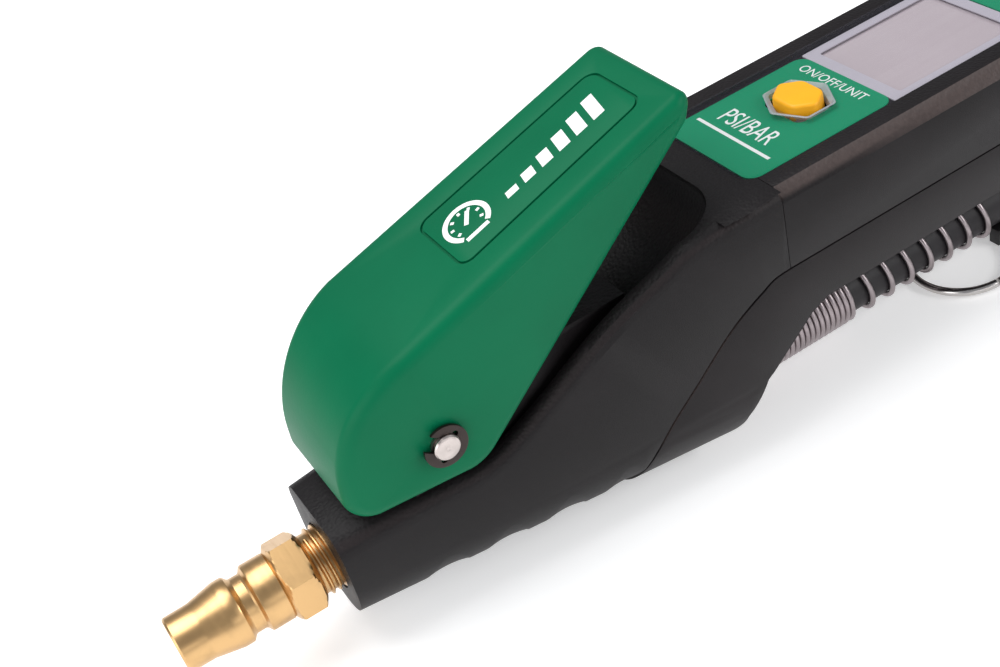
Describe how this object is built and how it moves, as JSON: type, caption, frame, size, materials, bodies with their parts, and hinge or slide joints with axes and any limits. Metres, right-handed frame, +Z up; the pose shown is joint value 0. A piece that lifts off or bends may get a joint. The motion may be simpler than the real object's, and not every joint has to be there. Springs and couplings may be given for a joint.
{
  "type": "tyre inflator with gauge",
  "caption": "Hand-held air-line tyre inflator: a squeeze lever opens the valve, a battery gauge shows pressure, and a short hose ends in a clip-on chuck.",
  "frame": {"origin": "middle of the tool's footprint, hose and chuck left out, on the plane it lies on", "axes": "+X along the tool from the air-line plug towards the gauge's rear end, +Z up, square to the display's back; +Y across"},
  "size_m": [0.261, 0.1445, 0.0792],
  "materials": {
    "black_steel": "phosphated",
    "block_alloy": "die cast",
    "board_green": "soldermask",
    "button_yellow": "moulded",
    "cell_wrap": "printed wrap",
    "chuck_chrome": "plated",
    "cover_plastic": "fine grained moulding",
    "door_plastic": "fine grained moulding",
    "fitting_brass": "turned",
    "grip_plastic": "coarse grained moulding",
    "guide_white": "light guide",
    "hose_rubber": "extruded",
    "label_film": "printed film",
    "lcd_grey": "display glass",
    "lens_acrylic": "clear hard coat",
    "lever_plastic": "semi-gloss green moulding",
    "nickel": "plated",
    "plug_brass": "turned",
    "rubber_black": "moulded",
    "seal_rubber": "moulded",
    "shell_plastic": "fine grained moulding",
    "spring_wire": "drawn wire",
    "stainless": "turned",
    "tray_black": "moulded",
    "valve_brass": "turned",
    "zinc_steel": "zinc plated"
  },
  "bodies": {
    "housing": {"air_block": "block_alloy", "batteries": "cell_wrap", "battery_contacts": "nickel", "battery_door": "door_plastic", "battery_tray": "tray_black", "chuck_body": "chuck_chrome", "chuck_core": "fitting_brass", "chuck_ferrule": "fitting_brass", "chuck_pin": "zinc_steel", "chuck_seal": "rubber_black", "chuck_stem": "fitting_brass", "circuit_board": "board_green", "cover_screws": "zinc_steel", "display_cover": "cover_plastic", "display_lens": "lens_acrylic", "door_screw": "zinc_steel", "end_plug_seal": "seal_rubber", "front_body": "grip_plastic", "hose": "hose_rubber", "hose_clip": "tray_black", "hose_ferrule": "fitting_brass", "hose_fitting": "fitting_brass", "inlet_filter": "valve_brass", "inlet_plug": "plug_brass", "label_print": "label_film", "lcd_module": "lcd_grey", "lever_pin": "stainless", "light_guide": "guide_white", "lower_shell": "shell_plastic", "pin_clips": "black_steel", "pressure_sensor": "stainless", "sensor_seal": "seal_rubber", "spring_guard": "spring_wire", "stem_seal": "seal_rubber", "tact_switch": "nickel", "valve_end_plug": "valve_brass", "valve_gland": "valve_brass", "valve_seat": "valve_brass", "valve_spring": "spring_wire"},
    "lever": {"lever": "lever_plastic"},
    "plunger": {"valve_stem": "stainless", "poppet_seal": "seal_rubber"},
    "button": {"power_button": "button_yellow"},
    "ring": {"hanging_ring": "nickel"},
    "chuck_lever": {"chuck_lever": "zinc_steel"}
  },
  "joints": [
    {"name": "lever_press", "type": "hinge", "parent": "housing", "child": "lever", "pos_m": [-0.05025, 0, 0.0418], "axis": [0, 1, 0], "range_deg": [0, 9], "stiffness_Nm_per_rad": 6, "springref_deg": -5.73},
    {"name": "valve_slide", "type": "slide", "parent": "housing", "child": "plunger", "axis": [0, 0, -1], "range_m": [0, 0.0031], "deforming": ["valve_spring"]},
    {"name": "button_press", "type": "slide", "parent": "housing", "child": "button", "axis": [0, 0, -1], "range_m": [0, 0.00045], "stiffness_N_per_m": 300, "springref_m": -0.0003},
    {"name": "ring_swing", "type": "hinge", "parent": "housing", "child": "ring", "pos_m": [0.08685, -0.0036, 0.0023], "axis": [0, -1, 0], "range_deg": [0, 135]},
    {"name": "chuck_lever_press", "type": "hinge", "parent": "housing", "child": "chuck_lever", "pos_m": [0.02165, -0.117, 0.0168], "axis": [0, 1, 0], "range_deg": [0, 8], "stiffness_Nm_per_rad": 1, "springref_deg": -5.73}
  ],
  "couplings": [
    {"joint": "valve_slide", "follows": "lever_press", "m_per_rad": 0.0195}
  ]
}
